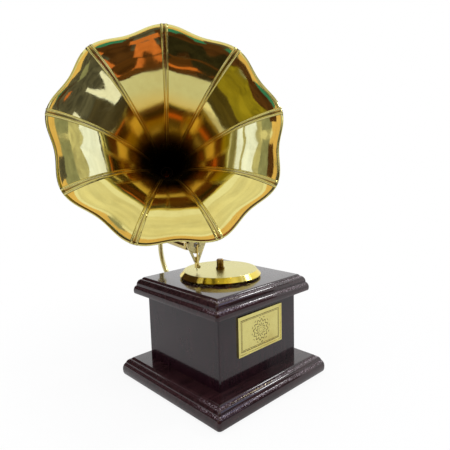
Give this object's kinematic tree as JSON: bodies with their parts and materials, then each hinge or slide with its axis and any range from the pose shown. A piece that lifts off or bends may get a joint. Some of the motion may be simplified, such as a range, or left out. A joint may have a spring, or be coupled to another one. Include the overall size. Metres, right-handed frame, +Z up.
{
  "type": "table-top gramophone with petal horn",
  "caption": "Wind-up table gramophone: moulded dark wooden case, small turntable, swinging tonearm, curved rear bracket and a swivelling petalled brass horn.",
  "frame": {"origin": "middle of the felt's rest face, under the middle of the case", "axes": "+Z up; -Y towards the plaque, the front; +X towards the crank side, the right seen from the front"},
  "size_m": [0.26, 0.1953, 0.3429],
  "materials": {
    "green_felt": "matt wool felt",
    "lacquered_wood": "dark mahogany stain under high-gloss lacquer",
    "plain_wood": "plain sealed board",
    "brass_screws": "turned and slotted",
    "plaque_brass": "bright rolled plate",
    "polished_brass": "polished and lacquered",
    "motor_brass": "plain machined",
    "steel": "bright turned",
    "spring_steel": "blued spring steel",
    "turntable_brass": "polished rim, satin top",
    "spindle_brass": "darkened",
    "knob_wood": "dark stained, glossy",
    "diaphragm_metal": "thin rolled sheet",
    "horn_brass": "spun sheet, polished and lacquered"
  },
  "bodies": {
    "case": {"felt_sheet": "green_felt", "plinth": "lacquered_wood", "bottom_panel": "plain_wood", "wood_screws": "brass_screws", "body_front": "lacquered_wood", "body_back": "lacquered_wood", "body_left": "lacquered_wood", "body_right": "lacquered_wood", "lid": "lacquered_wood", "plaque": "plaque_brass", "bracket_flange": "polished_brass", "bracket_tube": "polished_brass", "horn_socket": "polished_brass", "horn_clamp_screw": "polished_brass", "motor_top_plate": "motor_brass", "motor_bottom_plate": "motor_brass", "motor_pillars": "steel", "motor_studs": "steel", "spindle_bushing": "motor_brass", "crank_bushing": "polished_brass", "clutch_spring": "spring_steel"},
    "turntable": {"turntable_disc": "turntable_brass", "record_spindle": "spindle_brass", "spindle_wheel": "motor_brass"},
    "middle": {"middle_arbor": "steel", "middle_wheel": "motor_brass"},
    "barrel": {"mainspring_barrel": "motor_brass", "barrel_cover": "motor_brass", "mainspring": "spring_steel"},
    "governor": {"governor_arbor": "steel", "governor_disc": "motor_brass", "governor_springs": "spring_steel", "governor_weights": "motor_brass"},
    "winder": {"barrel_arbor": "steel", "winding_wheel": "motor_brass"},
    "crank": {"winding_shaft": "steel", "crank_arm": "steel", "crank_knob_pin": "steel"},
    "knob": {"crank_knob": "knob_wood"},
    "brake": {"governor_brake": "spring_steel"},
    "tonearm": {"tonearm_collar": "polished_brass", "tonearm_tube": "polished_brass"},
    "reproducer": {"sound_box": "polished_brass", "diaphragm": "diaphragm_metal", "stylus_fork": "polished_brass", "stylus_bar": "polished_brass", "needle": "steel", "needle_screw": "polished_brass"},
    "horn": {"horn_elbow": "polished_brass", "throat_ferrule": "polished_brass", "horn_petal_1": "horn_brass", "horn_petal_2": "horn_brass", "horn_petal_3": "horn_brass", "horn_petal_4": "horn_brass", "horn_petal_5": "horn_brass", "horn_petal_6": "horn_brass", "horn_petal_7": "horn_brass", "horn_petal_8": "horn_brass", "horn_petal_9": "horn_brass", "horn_seams": "horn_brass"}
  },
  "joints": [
    {"name": "turntable_spin", "type": "hinge", "parent": "case", "child": "turntable", "pos_m": [0, 0, 0.11], "axis": [0, 0, 1], "continuous": true},
    {"name": "middle_spin", "type": "hinge", "parent": "case", "child": "middle", "pos_m": [-0.01691, -0.00632, 0.06], "axis": [0, 0, 1], "continuous": true},
    {"name": "barrel_spin", "type": "hinge", "parent": "case", "child": "barrel", "pos_m": [-0.02007, 0.01802, 0.066], "axis": [0, 0, 1], "continuous": true},
    {"name": "governor_spin", "type": "hinge", "parent": "case", "child": "governor", "pos_m": [0.01241, -0.01241, 0.06], "axis": [0, 0, 1], "continuous": true},
    {"name": "crank_turn", "type": "hinge", "parent": "case", "child": "crank", "pos_m": [0.06, 0.018, 0.046], "axis": [1, 0, 0], "continuous": true},
    {"name": "barrel_winding", "type": "hinge", "parent": "case", "child": "winder", "pos_m": [-0.02007, 0.01802, 0.05], "axis": [0, 0, 1], "continuous": true},
    {"name": "knob_spin", "type": "hinge", "parent": "crank", "child": "knob", "pos_m": [0.0925, 0.01176, 0.01666], "axis": [1, 0, 0], "continuous": true},
    {"name": "brake_pivot", "type": "hinge", "parent": "case", "child": "brake", "pos_m": [0.01241, -0.02741, 0.06], "axis": [0, 0, 1], "range_deg": [0, 12]},
    {"name": "tonearm_swing", "type": "hinge", "parent": "case", "child": "tonearm", "pos_m": [0, 0.1045, 0.136], "axis": [0, 0, 1], "range_deg": [-20, 7]},
    {"name": "sound_box_turn", "type": "hinge", "parent": "tonearm", "child": "reproducer", "pos_m": [-0.02395, 0.01257, 0.141], "axis": [0.2521, 0.9677, 0], "range_deg": [0, 80]},
    {"name": "horn_swivel", "type": "hinge", "parent": "case", "child": "horn", "pos_m": [0, 0.087, 0.178], "axis": [0, 0, 1], "range_deg": [-41, 108]}
  ],
  "couplings": [
    {"joint": "middle_spin", "follows": "turntable_spin", "ratio": -0.25},
    {"joint": "governor_spin", "follows": "turntable_spin", "ratio": -6},
    {"joint": "barrel_spin", "follows": "turntable_spin", "ratio": 0.041667},
    {"joint": "barrel_winding", "follows": "crank_turn", "ratio": -0.41667}
  ]
}
